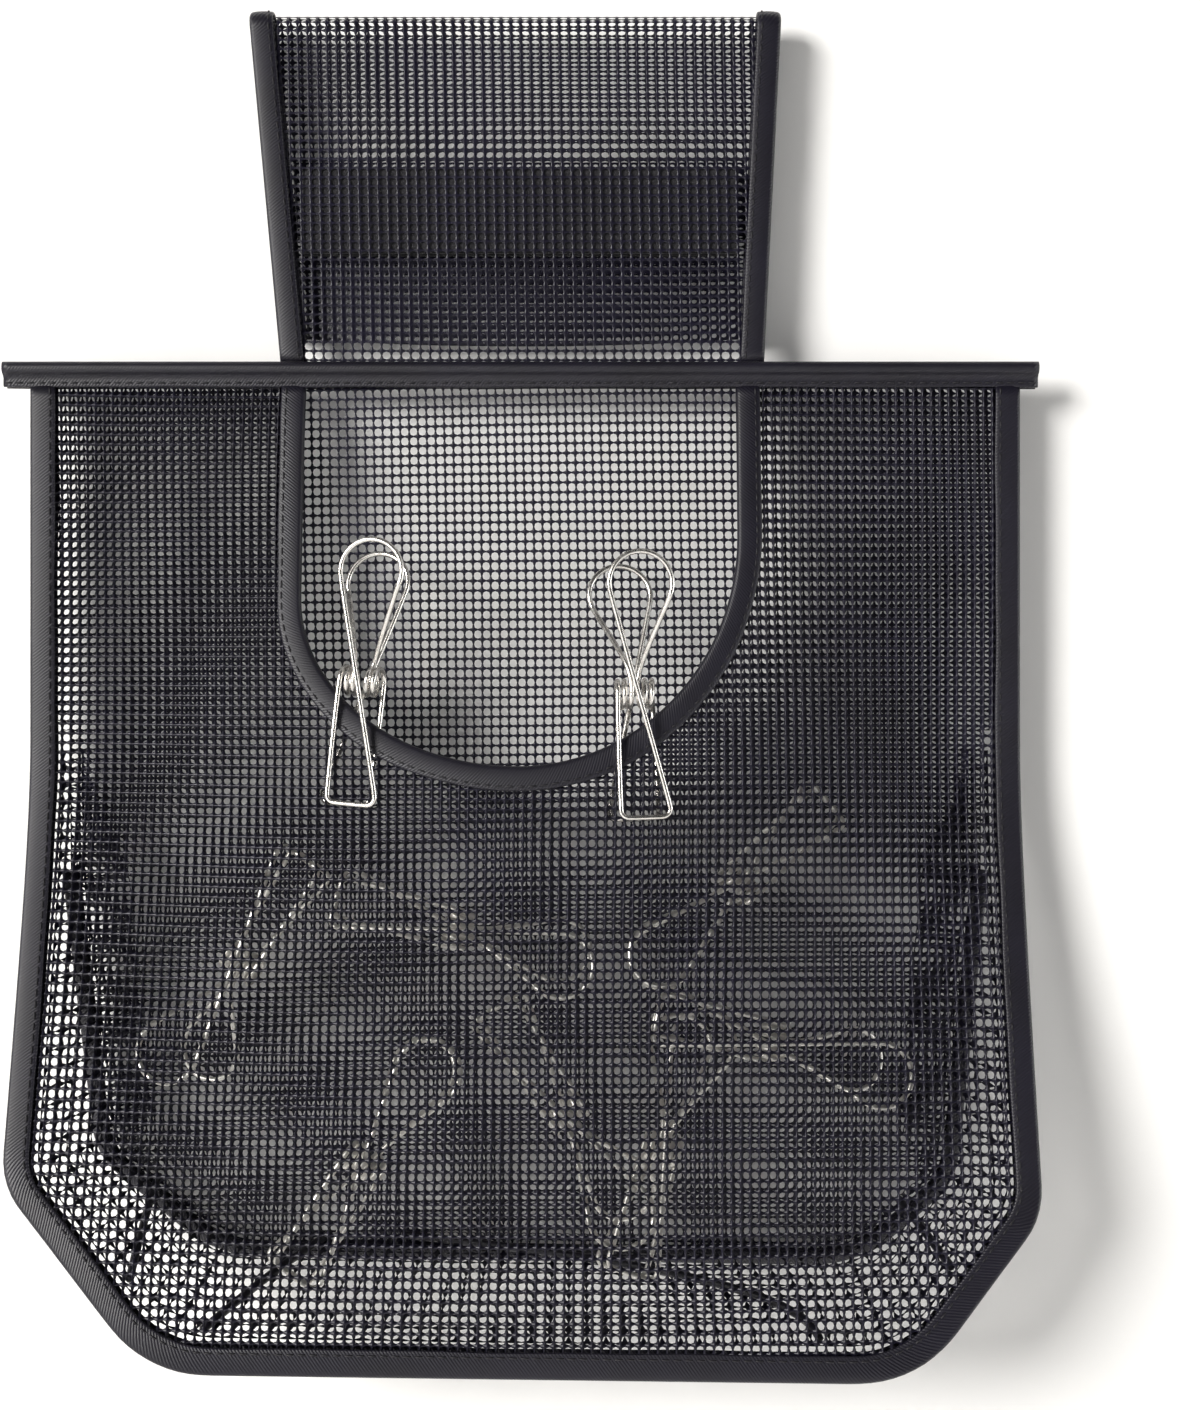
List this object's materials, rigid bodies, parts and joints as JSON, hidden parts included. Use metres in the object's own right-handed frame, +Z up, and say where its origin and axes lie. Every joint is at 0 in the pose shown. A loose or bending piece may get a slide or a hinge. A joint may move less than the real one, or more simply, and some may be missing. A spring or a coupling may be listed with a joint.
{
  "type": "hanging peg bag",
  "caption": "Open-mesh hanging pouch with bound edges, a scooped front, a stiff top band, a fold-over flap that closes round a washing line, and wire pegs on its lip and inside.",
  "frame": {"origin": "inside the top of the flap's fold, where the washing line lies, in the bag's middle plane", "axes": "+X to the right seen from the front, -Y out of the scooped front, +Z up"},
  "size_m": [0.3, 0.0546, 0.3855],
  "materials": {
    "mesh": "satin",
    "tape": "satin",
    "closure": "matte",
    "wire": "polished",
    "rod": "satin"
  },
  "bodies": {
    "bag": {"front_panel": "mesh", "back_panel": "mesh", "gusset_left": "mesh", "gusset_bottom": "mesh", "gusset_right": "mesh", "front_edge_binding": "tape", "back_edge_binding": "tape", "scoop_binding": "tape", "top_band": "tape", "band_rod": "rod", "hanging_flap": "mesh", "flap_left_binding": "tape", "flap_right_binding": "tape", "loop_strip": "closure", "left_peg_rear_half": "wire", "right_peg_rear_half": "wire", "loose_peg_1": "wire", "loose_peg_2": "wire", "loose_peg_3": "wire", "loose_peg_4": "wire", "loose_peg_5": "wire", "loose_peg_6": "wire", "loose_peg_7": "wire"},
    "tail": {"flap_tail": "mesh", "tail_left_binding": "tape", "tail_right_binding": "tape", "tail_facing": "mesh", "hook_strip": "closure"},
    "left_peg_front": {"left_peg_front_half": "wire"},
    "right_peg_front": {"right_peg_front_half": "wire"}
  },
  "joints": [
    {"name": "tail_lift", "type": "hinge", "parent": "bag", "child": "tail", "pos_m": [0, 0.0054, -0.00365], "axis": [1, 0, 0], "range_deg": [0, 120]},
    {"name": "left_peg_pinch", "type": "hinge", "parent": "bag", "child": "left_peg_front", "pos_m": [-0.04437, -0.01813, -0.19402], "axis": [-0.9812, 0.1741, 0.0831], "range_deg": [0, 14], "stiffness_Nm_per_rad": 0.5},
    {"name": "right_peg_pinch", "type": "hinge", "parent": "bag", "child": "right_peg_front", "pos_m": [0.03284, -0.02016, -0.19772], "axis": [-0.9918, -0.1254, -0.0255], "range_deg": [0, 14], "stiffness_Nm_per_rad": 0.5}
  ]
}
